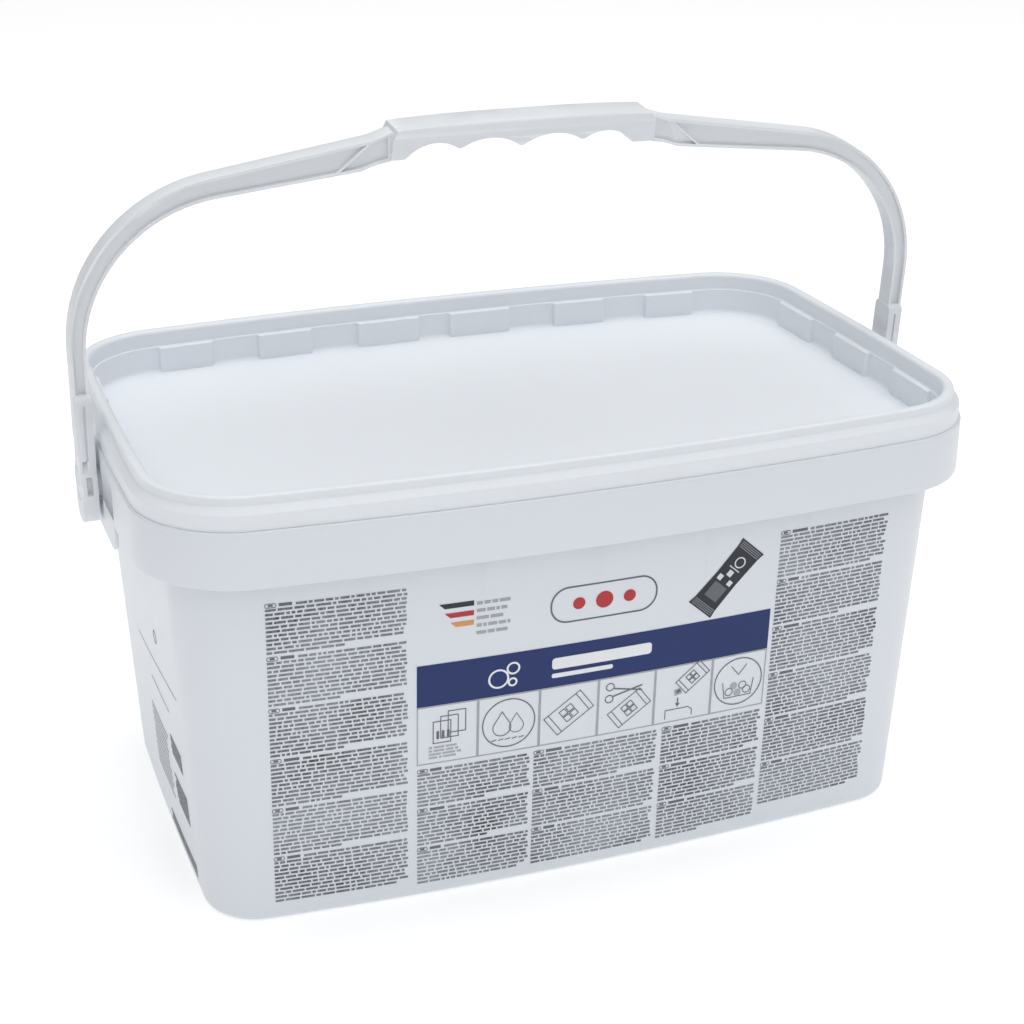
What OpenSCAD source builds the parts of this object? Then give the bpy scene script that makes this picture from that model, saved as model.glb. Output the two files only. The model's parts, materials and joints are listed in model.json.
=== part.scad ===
// Rectangular plastic bucket for cleaning tablets: a tapered tub with a deep hinge collar,
// a recessed lid that lifts off, and a swinging carry handle with a moulded finger grip.
// The origin is at the middle of the foot, +X runs along the long side, -Y is the printed front.

/* [Tub] */
// Length over the collar, middle of one short side to middle of the other
tub_l = 390; // [360:1:420]
// Width over the collar, middle of one long side to middle of the other
tub_w = 251; // [230:1:280]
// Radius of the collar's corners
corner_r = 47; // [38:1:56]
// How far each long side bows out over the collar's length
long_bow = 10.7; // [8:0.1:14]
// How far each short side bows out over the collar's width
short_bow = 2.9; // [2:0.1:5]
// Height of the tub's rim, under the lid
tub_h = 211; // [190:1:240]
// Wall thickness of the tub
wall = 1.8; // [1.4:0.1:2.4]
// Thickness of the tub's floor
floor_t = 2.2; // [1.6:0.1:3]
// Height of the floor's underside above the foot ring
foot_h = 1.4; // [1:0.1:2.5]
// Width of the foot ring
foot_w = 9; // [6:0.5:14]
// Rounding where the wall turns into the foot
foot_r = 3.5; // [2:0.5:6]
// How far the wall stands inside the collar at the foot
foot_inset = 21.1; // [18:0.1:24]
// Draft of the wall, in degrees
draft = 2.95; // [2.4:0.01:3.6]

/* [Collar] */
// Height of the collar's top face below the rim
collar_drop = 12.3; // [11:0.1:16]
// Height of the collar
collar_h = 25.2; // [20:0.1:30]
// Thickness of the collar and of its ribs
collar_t = 1.6; // [1.2:0.1:2.2]
// Inset of the neck that stands above the collar
neck_inset = 6; // [5.6:0.1:7]
// How far the inner shoulder lies below the collar's top face
shoulder_drop = 11; // [10:0.5:14]
// Depth of the hinge apron below the collar
apron_drop = 13.5; // [10:0.5:18]
// Width of the hinge apron
apron_w = 72; // [60:1:90]
// Rounding of the hinge apron's lower corners
apron_r = 8; // [4:0.5:12]
// Spacing of the ribs behind the collar's long sides
rib_pitch = 52; // [40:1:60]

/* [Lid] */
// Wall thickness of the lid
lid_t = 1.4; // [1.1:0.1:1.6]
// Gap between the lid and the tub's rim
lid_gap = 0.25; // [0.2:0.05:0.4]
// Height of the lid's raised rim above its shoulder
rim_rise = 3.8; // [3:0.1:5]
// Inset of the lid's skirt from the collar's face
skirt_inset = 1.2; // [0.8:0.1:1.6]
// Height that the lid's shoulder climbs
shoulder_rise = 3.1; // [2:0.1:4]
// Depth of the panel below the lid's rim
panel_depth = 21; // [18:0.5:23]
// Depth of the ledge below the lid's rim
ledge_depth = 8.2; // [6:0.1:10]
// Width of the ledge inside the lid's rim
ledge_w = 1; // [0.6:0.1:1.4]
// How far the stacking lugs stand in from the lid's inner wall
lug_reach = 2.3; // [1.5:0.1:3]

/* [Handle] */
// Height of the hinge pins below the collar's top face
pivot_drop = 17.2; // [15:0.1:19]
// Distance from the hinge axis to the top of the grip
handle_rise = 155; // [152:0.5:165]
// Gap between the collar and the handle's ears
ear_gap = 1.6; // [1.2:0.1:4]
// Thickness of the handle's ears
ear_t = 7.2; // [6.4:0.1:8]
// How far the arms stand out past the ears
arm_step = 0.4; // [0:0.1:1.5]
// Width of the ears across the hinge pin
ear_w = 21; // [20:0.5:28]
// Height of the ears above the hinge axis
ear_h = 44.7; // [38:0.1:50]
// Width of the ears' upper part
ear_neck_w = 13.5; // [12:0.5:17]
// How far the ears reach below the hinge axis
ear_tail = 17.8; // [14:0.1:22]
// Thickness of the handle's upright arms
arm_t = 6.9; // [6:0.1:8]
// Depth of the arms, front to back
arm_d = 10; // [9:0.5:14]
// Outer radius of the arms' bend
bend_r = 74.3; // [60:0.1:90]
// Slope of the handle's shoulders, in degrees
shoulder_slope = 9; // [6:0.5:12]
// Length of the grip
grip_l = 123; // [116:1:130]
// Depth of the grip's top, front to back
grip_d = 18; // [16:0.5:26]
// Depth of the grip's underside, front to back
under_d = 12; // [10.5:0.5:15]
// Depth of the bow below the grip's top, where its arms start to bend
spring_drop = 91.2; // [80:0.1:110]
// Thickness of the bow's bend
crown_t = 9.3; // [8:0.1:12]
// Thickness of the grip over the finger hollows
grip_t = 8; // [7:0.1:9]
// Depth of the grip's ends below its top
grip_low = 16.2; // [15:0.1:18]
// Height of the cusps between the finger hollows, before they are rounded
cusp_h = 5.6; // [4.5:0.1:6.5]
// Spacing of the two middle finger hollows
finger_pitch = 30; // [28:0.5:32]
// How far the finger hollows sit off the grip's middle
finger_shift = -1.7; // [-3:0.1:3]
// Width of the flanges along the handle's edges
flange_w = 1.3; // [1:0.1:2.2]
// Depth of the hollow in the handle's front and back
web_recess = 2; // [1.2:0.1:3.6]
// Distance of the diagonal ribs from the grip's ends
brace_gap = 16.5; // [10:0.5:30]
// Angle at which the handle rests, leaning to the front
lean = 5.5; // [0:0.5:10]

/* [Hinge] */
// Radius of the hinge pins
pin_r = 5; // [4:0.1:6]
// Running clearance between the pins and the ears
pin_gap = 0.05; // [0.03:0.01:0.1]
// Radius of the heads on the hinge pins
head_r = 7.5; // [6.8:0.1:8.5]
// Thickness of the heads on the hinge pins
head_t = 1.5; // [1:0.1:2]
// Gap around the heads and beside the ears
head_gap = 0.3; // [0.2:0.05:0.5]

/* [Print] */
// Thickness of the printed film
film_t = 0.15; // [0.1:0.05:0.3]
// Gap between the wall and the printed film
film_gap = 0.1; // [0.05:0.05:0.2]
// Height of the print's lower edge
print_z = 6.5; // [5:0.5:12]
// Height of the print's upper edge
print_top = 160.5; // [150:0.5:165]
// Lower edge of the coloured band
band_z = 100.6; // [90:0.1:105]
// Height of the coloured band
band_h = 20.6; // [15:0.1:26]
// Height of the row of pictures under the band
picture_h = 29.5; // [24:0.5:34]
// Left and right edges of the coloured band
band_x = [-81.6, 88]; // [-120:0.1:120]
// Width of the text columns at the sides
side_column_w = 59; // [50:0.5:62]

/* [Hidden] */

// Points along a quarter of a level: long side, corner, short side
long_steps = 5;
corner_steps = 8;
short_steps = 2;
bend_steps = 20;

half_l = tub_l / 2;
half_w = tub_w / 2;
long_r = (half_l * half_l + long_bow * long_bow) / (2 * long_bow);
short_r = (half_w * half_w + short_bow * short_bow) / (2 * short_bow);

collar_top = tub_h - collar_drop;
collar_bottom = collar_top - collar_h;
shoulder_z = collar_top - shoulder_drop;
shoulder_h = 4;
neck_in = neck_inset + wall;
rim_round = 0.6;
edge_round = 0.8;

function wall_inset(z) = foot_inset - z * tan(draft);

// Corner circle: its centre lies at the same distance from both side arcs
long_c = half_w - long_r;
short_c = half_l - short_r;
centre_gap = norm([short_c, long_c]);
long_reach = long_r - corner_r;
short_reach = short_r - corner_r;
along = (long_reach * long_reach - short_reach * short_reach + centre_gap * centre_gap) / (2 * centre_gap);
across = sqrt(long_reach * long_reach - along * along);
toward = [short_c, -long_c] / centre_gap;
corner_c = [0, long_c] + along * toward + across * [toward.y, -toward.x];
long_end = atan2(corner_c.y - long_c, corner_c.x);
short_end = atan2(corner_c.y, corner_c.x - short_c);

function polar(centre, r, a) = centre + r * [cos(a), sin(a)];

// One quarter of a level, from the middle of the short side to the middle of the long side
function quarter(inset) = concat(
    [for (i = [0 : short_steps - 1]) polar([short_c, 0], short_r - inset, short_end * i / short_steps)],
    [for (i = [0 : corner_steps - 1])
        polar(corner_c, corner_r - inset, short_end + (long_end - short_end) * i / corner_steps)],
    [for (i = [0 : long_steps])
        polar([0, long_c], long_r - inset, long_end + (90 - long_end) * i / long_steps)]
);

function backward(list) = [for (i = [len(list) - 1 : -1 : 0]) list[i]];
function without_first(list) = [for (i = [1 : len(list) - 1]) list[i]];
function without_last(list) = [for (i = [0 : len(list) - 2]) list[i]];
function flip_x(list) = [for (p = list) [-p.x, p.y]];
function flip_y(list) = [for (p = list) [p.x, -p.y]];

// The whole outline of a level, counter-clockwise
function level(inset) = let(q = quarter(inset)) concat(
    q,
    without_first(backward(flip_x(q))),
    without_first(flip_x(flip_y(q))),
    without_last(without_first(backward(flip_y(q))))
);

// A closed shell swept round the outline from rows of [inset, z], first row and last row capped
module swept(rows) {
    rings = [for (row = rows) [for (p = level(row[0])) [p.x, p.y, row[1]]]];
    n = len(rings[0]);
    last = len(rows) - 1;
    faces = concat(
        [[for (i = [0 : n - 1]) i]],
        [for (k = [0 : last - 1], i = [0 : n - 1])
            let(j = (i + 1) % n) [k * n + i, (k + 1) * n + i, (k + 1) * n + j, k * n + j]],
        [[for (i = [n - 1 : -1 : 0]) last * n + i]]
    );
    polyhedron(points = [for (ring = rings) each ring], faces = faces, convexity = 6);
}

// A rounded corner between two directions, as rows of [inset, z]
function round_rows(centre, r, from, to, steps) =
    [for (i = [0 : steps]) [centre[0] + r * cos(from + (to - from) * i / steps),
                            centre[1] + r * sin(from + (to - from) * i / steps)]];

// Tub

foot_edge = wall_inset(foot_r) + foot_r;
floor_top = foot_h + floor_t;
inner_r = 4;
tub_inner_foot = wall_inset(floor_top + inner_r) + wall;
web_z = collar_top - collar_t;

tub_rows = concat(
    [[foot_edge + foot_w + foot_h, foot_h], [foot_edge + foot_w, 0], [foot_edge, 0]],
    round_rows([foot_edge, foot_r], foot_r, 240, 180, 2),
    [[wall_inset(shoulder_z), shoulder_z], [neck_inset, shoulder_z + shoulder_h]],
    [[neck_inset, web_z], [collar_t, web_z], [collar_t, collar_bottom], [0, collar_bottom]],
    round_rows([edge_round, collar_top - edge_round], edge_round, 180, 90, 2),
    [[neck_inset, collar_top]],
    round_rows([neck_inset + rim_round, tub_h - rim_round], rim_round, 180, 90, 2),
    round_rows([neck_in - rim_round, tub_h - rim_round], rim_round, 90, 0, 2),
    [[neck_in, shoulder_z + shoulder_h], [wall_inset(shoulder_z) + wall, shoulder_z]],
    round_rows([tub_inner_foot + inner_r, floor_top + inner_r], inner_r, 180, 270, 3)
);

// Flat plate between two levels, cut to the apron's outline on the short sides
module apron() {
    apron_h = apron_drop + edge_round + apron_r;
    intersection() {
        translate([0, 0, collar_bottom - apron_drop])
        linear_extrude(apron_h)
        difference() {
            polygon(level(0));
            polygon(level(collar_t));
        }
        translate([-tub_l, 0, collar_bottom - apron_drop])
        rotate([90, 0, 90])
        linear_extrude(2 * tub_l) {
            translate([-apron_w / 2 + apron_r, 0]) square([apron_w - 2 * apron_r, apron_h]);
            translate([-apron_w / 2, apron_r]) square([apron_w, apron_h - apron_r]);
            for (side = [-1, 1])
                translate([side * (apron_w / 2 - apron_r), apron_r]) circle(apron_r, $fn = 48);
        }
    }
}

// Upright rib in the XZ plane that ties the collar to the wall
module rib(side_y, z_low) {
    outer = side_y - collar_t / 2;
    foot = side_y - wall_inset(z_low) - wall / 2;
    waist = side_y - wall_inset(shoulder_z) - wall / 2;
    neck = side_y - neck_in + wall / 2;
    top = web_z + collar_t / 2;
    rotate([90, 0, 90])
    linear_extrude(collar_t, center = true)
    polygon([[foot, z_low], [outer, z_low], [outer, top], [neck, top], [neck, shoulder_z + shoulder_h],
             [waist, shoulder_z]]);
}

module ribs() {
    rib_z = collar_bottom + collar_t;
    apron_rib_z = collar_bottom - apron_drop + apron_r;
    for (side = [0, 180]) rotate([0, 0, side]) {
        for (k = [-2 : 2]) let(x = k * rib_pitch)
            translate([x, 0, 0]) rib(long_c + sqrt(long_r * long_r - x * x), rib_z);
        for (y = [-1, 1] * (apron_w / 2 - apron_r)) let(x = short_c + sqrt(short_r * short_r - y * y))
            translate([0, y, 0]) rotate([0, 0, -90]) rib(x, apron_rib_z);
    }
}

pivot_z = collar_top - pivot_drop;
boss_wall = 2;
ear_in = half_l + ear_gap;
ear_out = ear_in + ear_t;
pocket_t = head_t + head_gap;
head_x = ear_out - head_t - head_gap / 3;

// Round bar on the hinge axis, between two places along X
module axle(from, to, r) {
    translate([from, 0, pivot_z]) rotate([0, 90, 0]) cylinder(h = to - from, r = r, $fn = 64);
}

// Hinge pin with its boss and head, standing out of the apron
module hinge_pin() {
    base_x = half_l - collar_t / 2;
    axle(base_x, ear_in - head_gap, pin_r + boss_wall);
    axle(base_x, head_x, pin_r);
    axle(head_x, head_x + head_t, head_r);
}

module tub() {
    color("white") {
        swept(tub_rows);
        apron();
        ribs();
        hinge_pin();
        mirror([1, 0, 0]) hinge_pin();
    }
}

// Lid

rim_out = neck_inset - lid_gap - lid_t;
rim_in = neck_in + lid_gap + lid_t;
lid_top = tub_h + lid_gap + lid_t;
shoulder_top = lid_top - rim_rise;
skirt_top = shoulder_top - shoulder_rise;
skirt_bottom = collar_top + lid_gap;
ledge_z = lid_top - ledge_depth;
panel_z = lid_top - panel_depth;
inner_in = rim_in + ledge_w;
panel_r = 2;
lip_r = 2;
lip_edge = 0.9;

lid_rows = concat(
    round_rows([inner_in - lid_t + panel_r, panel_z - lid_t + panel_r], panel_r, 270, 180, 2),
    [[inner_in - lid_t, ledge_z - lid_t], [rim_in - lid_t, ledge_z - lid_t]],
    [[rim_in - lid_t, lid_top - lid_t], [rim_out + lid_t, lid_top - lid_t]],
    [[rim_out + lid_t, shoulder_top - lid_t], [skirt_inset + lid_t, skirt_top - lid_t / 2]],
    [[skirt_inset + lid_t, skirt_bottom], [skirt_inset, skirt_bottom]],
    round_rows([skirt_inset + lip_edge, skirt_top - lip_edge / 2], lip_edge, 180, 130, 2),
    [[rim_out - lip_edge / 2, shoulder_top]],
    round_rows([rim_out + lip_edge, lid_top - lip_edge], lip_edge, 180, 90, 3),
    round_rows([rim_in - lip_r, lid_top - lip_r], lip_r, 90, 0, 4),
    [[rim_in, ledge_z], [inner_in, ledge_z]],
    round_rows([inner_in + panel_r, panel_z + panel_r], panel_r, 180, 270, 3)
);

// Lugs on half of a long side as [from, to] in X, and on half of a short side in Y
long_lugs = [[8, 42], [66, 95], [118, 146]];
short_lugs = [[41, 76]];
middle_lug = 17;
lug_slope = 0.8;

// Plan of one lug on the arc of a side, from one place along it to another
function lug_plan(r, c, from, to) =
    let(base = r - inner_in + lid_t / 2, face = r - inner_in - lug_reach, steps = 4)
    concat(
        [for (i = [0 : steps]) let(s = from + (to - from) * i / steps) [s, c + sqrt(base * base - s * s)]],
        [for (i = [steps : -1 : 0]) let(s = from + lug_slope + (to - from - 2 * lug_slope) * i / steps)
            [s, c + sqrt(face * face - s * s)]]
    );

module lug(r, c, from, to) {
    foot_z = panel_z - lid_t / 2;
    translate([0, 0, foot_z]) linear_extrude(ledge_z - foot_z) polygon(lug_plan(r, c, from, to));
}

module lid() {
    color("white") {
        swept(lid_rows);
        for (turn = [0, 180]) rotate([0, 0, turn]) {
            for (span = long_lugs, side = [0, 1])
                mirror([side, 0, 0]) lug(long_r, long_c, span[0], span[1]);
            rotate([0, 0, -90]) {
                for (span = short_lugs, side = [0, 1])
                    mirror([side, 0, 0]) lug(short_r, short_c, span[0], span[1]);
                lug(short_r, short_c, -middle_lug, middle_lug);
            }
        }
    }
}

// Handle, drawn upright in XZ with the hinge axis at pivot_z

grip_top = pivot_z + handle_rise;
grip_half = grip_l / 2;
grip_crown = 2;
end_drop = 4;
spring_z = grip_top - spring_drop;
inner_drop = 1.5;
inner_bend_r = bend_r - crown_t + inner_drop;
slope_taper = 2.75;
inner_slope = shoulder_slope - slope_taper;
arm_out = ear_out + arm_step;
arm_in = arm_out - arm_t;
throat = 13.5;
throat_l = 6;
bow_low = grip_top - grip_low;
throat_corner = [grip_half + throat_l, bow_low - 1];
saddle_l = 8;
saddle_h = 1.5;

function slide(p, slope, x) = [x, p.y + (p.x - x) * tan(slope)];

// Outer edge of the right half, from the ear up to the grip, moved in by t
function outer_edge(t) =
    let(c = [arm_out - bend_r, spring_z], r = bend_r - t, turn = 90 - shoulder_slope,
        end = polar(c, r, turn))
    concat(
        [[arm_out - t, pivot_z]],
        [for (i = [0 : bend_steps]) polar(c, r, turn * i / bend_steps)],
        [slide(end, shoulder_slope, grip_half + saddle_l),
         slide(end, shoulder_slope, grip_half + t) + [0, saddle_h]]
    );

// Inner edge of the right half, from the ear up to the grip, moved out by t
function inner_edge(t) =
    let(c = [arm_in - inner_bend_r, spring_z - inner_drop], r = inner_bend_r + t, turn = 90 - inner_slope,
        end = polar(c, r, turn))
    concat(
        [[arm_in + t, pivot_z]],
        [for (i = [0 : bend_steps]) polar(c, r, turn * i / bend_steps)],
        [slide(end, inner_slope, grip_half + throat), throat_corner + [0, t], [grip_half + t, bow_low + t]]
    );

module standing(depth) {
    rotate([90, 0, 0]) linear_extrude(depth, center = true) children();
}

// The bow runs on as a thin core inside the grip
core_z = grip_top - grip_t + 1;
core_inset = 3;
module bow_shape() {
    over = outer_edge(0);
    under = concat(inner_edge(0), [[grip_half - core_inset, core_z]]);
    polygon(concat(over, backward(flip_x(over)), flip_x(under), backward(under)));
}

// Hollow between the flanges of one shoulder and arm
module web_shape() {
    difference() {
        polygon(concat(outer_edge(flange_w), backward(inner_edge(flange_w))));
        translate([ear_in - ear_t, pivot_z]) square([3 * ear_t, ear_h - neck_r]);
    }
}

brace_l = 22;
brace_w = 0.9;
brace_turn = -40;
module brace() {
    translate([grip_half + brace_gap, bow_low + 2 * flange_w]) rotate(brace_turn)
        square([brace_l, brace_w], center = true);
}

// Finger hollows and the rounded cusps between them, measured from the middle of the grip's top
end_pitch = 24.8;
end_sink = 0.6;
end_finger_r = 16.5;
cusp_r = 2.3;
toe_r = 3;
finger_r = (finger_pitch * finger_pitch / 4 + cusp_h * cusp_h) / (2 * cusp_h);
finger_c = [finger_pitch / 2, -grip_t - finger_r];
end_c = [finger_c.x + end_pitch, -grip_t - end_sink - end_finger_r];
middle_cusp = meeting([-finger_c.x, finger_c.y], finger_r + cusp_r, finger_c, finger_r + cusp_r);
outer_cusp = meeting(finger_c, finger_r + cusp_r, end_c, end_finger_r + cusp_r);
toe_z = toe_r - grip_low;
toe_from = end_finger_r + toe_r;
toe_reach = sqrt(toe_from * toe_from - (toe_z - end_c.y) * (toe_z - end_c.y));
toe_c = [end_c.x + toe_reach, toe_z];

// Place at one distance from a and another from b, on the upper side
function meeting(a, from_a, b, from_b) =
    let(d = norm(b - a), u = (b - a) / d, t = (d * d + from_a * from_a - from_b * from_b) / (2 * d))
    a + t * u + sqrt(from_a * from_a - t * t) * [-u.y, u.x];
function heading(p, q) = atan2(q.y - p.y, q.x - p.x);
function arc(c, r, from, to, steps) = [for (i = [0 : steps]) polar(c, r, from + (to - from) * i / steps)];

// Underside of the grip's right half, from the middle outwards
under_side = concat(
    arc(middle_cusp, cusp_r, -90, heading(middle_cusp, finger_c), 3),
    without_first(arc(finger_c, finger_r, heading(finger_c, middle_cusp), heading(finger_c, outer_cusp),
                      12)),
    without_first(arc(outer_cusp, cusp_r, heading(outer_cusp, finger_c), heading(outer_cusp, end_c), 5)),
    without_first(arc(end_c, end_finger_r, heading(end_c, outer_cusp), heading(end_c, toe_c), 12)),
    without_first(arc(toe_c, toe_r, heading(toe_c, end_c), -90, 4))
);
under_line = [for (p = concat(backward(flip_x(under_side)), without_first(under_side)))
    p + [finger_shift, grip_top]];

// Flat grip that narrows downwards
module grip_block() {
    intersection() {
        standing(grip_d)
        polygon(concat(
            [for (i = [-1 : 0.125 : 1]) [(grip_half - end_drop / 2) * i, grip_top - grip_crown * i * i]],
            [[grip_half, grip_top - grip_crown - end_drop], [grip_half, bow_low]],
            backward(under_line),
            [[-grip_half, bow_low], [-grip_half, grip_top - grip_crown - end_drop]]));
        translate([-grip_half, 0, grip_top]) rotate([90, 0, 90]) linear_extrude(grip_l) grip_section();
    }
}

top_r = 2.5;
under_r = 2;
brow_h = 5;
module grip_section() {
    side = concat(
        round_rows([under_d / 2 - under_r, bow_low - grip_top + under_r], under_r, -90, -20, 4),
        round_rows([grip_d / 2 - top_r, -brow_h], top_r, -20, 0, 2),
        round_rows([grip_d / 2 - top_r, -top_r], top_r, 0, 90, 6)
    );
    polygon(concat(side, backward(flip_x(side))));
}

// Outline of the ear in the YZ plane, with the hinge axis at the origin
tail_w = 18;
tail_r = 6;
neck_r = 3;
neck_shift = -0.75;
ear_straight = ear_h - neck_r;
module ear_shape() {
    circle(ear_w / 2, $fn = 96);
    translate([neck_shift - ear_neck_w / 2, 0]) square([ear_neck_w, ear_straight]);
    translate([neck_shift - ear_neck_w / 2 + neck_r, 0]) square([ear_neck_w - 2 * neck_r, ear_h]);
    translate([-tail_w / 2, -ear_tail + tail_r]) square([tail_w, ear_tail - tail_r]);
    translate([-tail_w / 2 + tail_r, -ear_tail]) square([tail_w - 2 * tail_r, ear_tail]);
    for (side = [-1, 1]) {
        translate([neck_shift + side * (ear_neck_w / 2 - neck_r), ear_straight]) circle(neck_r, $fn = 48);
        translate([side * (tail_w / 2 - tail_r), -ear_tail + tail_r]) circle(tail_r, $fn = 48);
    }
}

// Window beside the hinge pin, sloping recess above it and groove up to the ear's top
window_t = 2.6;
window_z = -2.3;
window_h = 8.5;
window_wall = 1.8;
ramp_t = 2;
ramp_h = 7.5;
ramp_d = 3;
ramp_shift = 1.2;
groove_w = 1;
groove_gap = 1.5;
module ear() {
    window_y = pin_r + pin_gap + window_wall;
    ramp_z = window_z + window_h;
    groove_z = ramp_z + ramp_h;
    difference() {
        translate([ear_in, 0, pivot_z]) rotate([90, 0, 90]) linear_extrude(ear_t) ear_shape();
        axle(ear_in - 1, ear_out + 1, pin_r + pin_gap);
        axle(ear_out - pocket_t, ear_out + 1, head_r + head_gap);
        for (side = [-1, 1]) let(edge = ear_neck_w / 2 + side * neck_shift) {
            ear_cut(side, window_t, 0, window_z, window_h, window_y, window_y);
            ear_cut(side, ramp_t, ramp_shift, ramp_z, ramp_h, edge + 1, edge - ramp_d);
            ear_cut(side, groove_w, 0, groove_z, ear_straight - groove_gap - groove_z, edge - groove_w,
                    edge - groove_w);
        }
    }
}

// Cut into the ear's front or back edge, down to low at its foot and to high at its top
module ear_cut(side, t, shift, rise, h, low, high) {
    translate([ear_in + (ear_t - t) / 2 + shift, 0, pivot_z + rise])
    rotate([90, 0, 90])
    linear_extrude(t)
    polygon([[side * low, 0], [side * ear_w, 0], [side * ear_w, h], [side * high, h]]);
}

module arm_clearance() {
    translate([ear_in - 1, -grip_d, pivot_z - 1]) cube([ear_t + 2, 2 * grip_d, ear_h / 2]);
}

module leaning() {
    translate([0, 0, pivot_z]) rotate([lean, 0, 0]) translate([0, 0, -pivot_z]) children();
}

module handle() {
    color("whitesmoke")
    leaning() {
        grip_block();
        difference() {
            standing(arm_d) bow_shape();
            for (side = [0, 1]) mirror([side, 0, 0]) {
                arm_clearance();
                for (face = [-1, 1]) translate([0, face * (arm_d - web_recess) / 2, 0])
                    standing(web_recess) difference() {
                        web_shape();
                        brace();
                    }
            }
        }
        for (side = [0, 1]) mirror([side, 0, 0]) ear();
    }
}

// Print

// A sheet of film on the printed front, between two places along X and two heights
module front_film(x0, x1, z0, z1) {
    steps = max(1, ceil((x1 - x0) / 25));
    film(long_r, long_c, x0, x1, z0, z1, steps);
}

// A sheet of film on the left short side, between two places along Y and two heights
module side_film(y0, y1, z0, z1) {
    rotate([0, 0, -90]) film(short_r, short_c, -y1, -y0, z0, z1, 2);
}

module film(r, c, s0, s1, z0, z1, steps) {
    levels = [[z0, film_gap], [z0, film_gap + film_t], [z1, film_gap + film_t], [z1, film_gap]];
    points = [for (i = [0 : steps], q = levels)
        let(s = s0 + (s1 - s0) * i / steps, reach = r - wall_inset(q[0]) + q[1])
        [s, -c - sqrt(reach * reach - s * s), q[0]]];
    sides = [for (i = [0 : steps - 1], k = [0 : 3])
        let(a = 4 * i + k, b = 4 * i + (k + 1) % 4) [a, b, b + 4, a + 4]];
    polyhedron(points, concat([[3, 2, 1, 0]], sides, [[for (k = [0 : 3]) 4 * steps + k]]), convexity = 4);
}

column_gap = 3;
row_gap = 1.8;
text_top = band_z - picture_h - 2;
middle_w = (band_x[1] - band_x[0]) / 3;
paragraphs = 6;

// Blocks of small print, one above the other, with narrow gaps between them
module text_column(x0, x1, z0, z1, rows) {
    pitch = (z1 - z0 + row_gap) / rows;
    for (k = [0 : rows - 1]) front_film(x0, x1, z0 + k * pitch, z0 + (k + 1) * pitch - row_gap);
}

module side_column(x) {
    text_column(x, x + side_column_w, print_z, print_top, paragraphs);
}

module front_text() {
    color("slategray") {
        side_column(band_x[0] - column_gap - side_column_w);
        side_column(band_x[1] + column_gap);
        for (k = [0 : 2]) let(x = band_x[0] + k * middle_w)
            text_column(x + column_gap / 2, x + middle_w - column_gap / 2, print_z, text_top, 3);
    }
}

module front_band() {
    color("darkslateblue") front_film(band_x[0], band_x[1], band_z, band_z + band_h);
}

picture_n = 6;
line_w = 0.7;
module front_pictures() {
    color("gray") {
        pitch = (band_x[1] - band_x[0] - line_w) / picture_n;
        low = band_z - picture_h;
        for (k = [0 : picture_n]) let(x = band_x[0] + k * pitch)
            front_film(x, x + line_w, low + line_w, band_z);
        front_film(band_x[0], band_x[1], low, low + line_w);
    }
}

// Drawing of a pouch above the band, as a leaning rectangle
pouch_at = [63.5, 141.3];
pouch_size = [37.5, 14.5];
pouch_turn = 48;
module front_pouch() {
    reach = norm(pouch_size) / 2;
    color("dimgray")
    intersection() {
        front_film(pouch_at.x - reach, pouch_at.x + reach, pouch_at.y - reach, pouch_at.y + reach);
        translate([pouch_at.x, 0, pouch_at.y]) rotate([90, 0, 0]) linear_extrude(tub_w)
            rotate(pouch_turn) square(pouch_size, center = true);
    }
}

// Blocks on the short side as [back edge, front edge, lower edge, upper edge]
side_blocks = [[-58, -34, 58, 71], [-60, -34, 32, 48], [-62, -8, 7, 14]];
module side_print() {
    color("dimgray") for (b = side_blocks) side_film(b[0], b[1], b[2], b[3]);
}

tub();
lid();
handle();
front_band();
front_pictures();
front_text();
front_pouch();
side_print();
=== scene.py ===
import json
import math
import random
import bmesh
import bpy
from mathutils import Matrix, Vector


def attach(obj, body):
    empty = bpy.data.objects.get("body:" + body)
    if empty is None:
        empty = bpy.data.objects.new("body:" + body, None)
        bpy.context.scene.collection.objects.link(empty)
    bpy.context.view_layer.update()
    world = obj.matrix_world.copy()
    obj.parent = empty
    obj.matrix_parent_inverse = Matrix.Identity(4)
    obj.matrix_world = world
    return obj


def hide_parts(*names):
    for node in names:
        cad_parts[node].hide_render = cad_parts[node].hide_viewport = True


# White plastic bucket with a lift-off lid and a swinging handle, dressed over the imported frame.
# All sizes in the dictionaries are millimetres unless a name says otherwise.

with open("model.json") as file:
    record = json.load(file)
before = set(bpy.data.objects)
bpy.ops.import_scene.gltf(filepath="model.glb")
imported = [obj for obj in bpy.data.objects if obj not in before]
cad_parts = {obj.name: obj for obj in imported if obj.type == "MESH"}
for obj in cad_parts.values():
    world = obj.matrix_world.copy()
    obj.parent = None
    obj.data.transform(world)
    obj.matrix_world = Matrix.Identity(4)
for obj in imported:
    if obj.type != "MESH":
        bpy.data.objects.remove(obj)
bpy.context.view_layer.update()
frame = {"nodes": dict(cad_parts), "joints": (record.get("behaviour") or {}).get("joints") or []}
mm = 0.001
random.seed(7)
print("frame loaded, nodes:", ", ".join(sorted(frame["nodes"])))

# Outline shared by tub, lid and print

outline = {
    "length": 390, "width": 251,       # over the collar, between the middles of opposite sides
    "cornerRadius": 47,
    "longBow": 10.7, "shortBow": 2.9,  # how far the sides bulge
    "longSteps": 18, "cornerSteps": 16, "shortSteps": 8,
}
halfLength = outline["length"] / 2
halfWidth = outline["width"] / 2
longRadius = (halfLength ** 2 + outline["longBow"] ** 2) / (2 * outline["longBow"])
shortRadius = (halfWidth ** 2 + outline["shortBow"] ** 2) / (2 * outline["shortBow"])
longCentre = halfWidth - longRadius
shortCentre = halfLength - shortRadius


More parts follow.
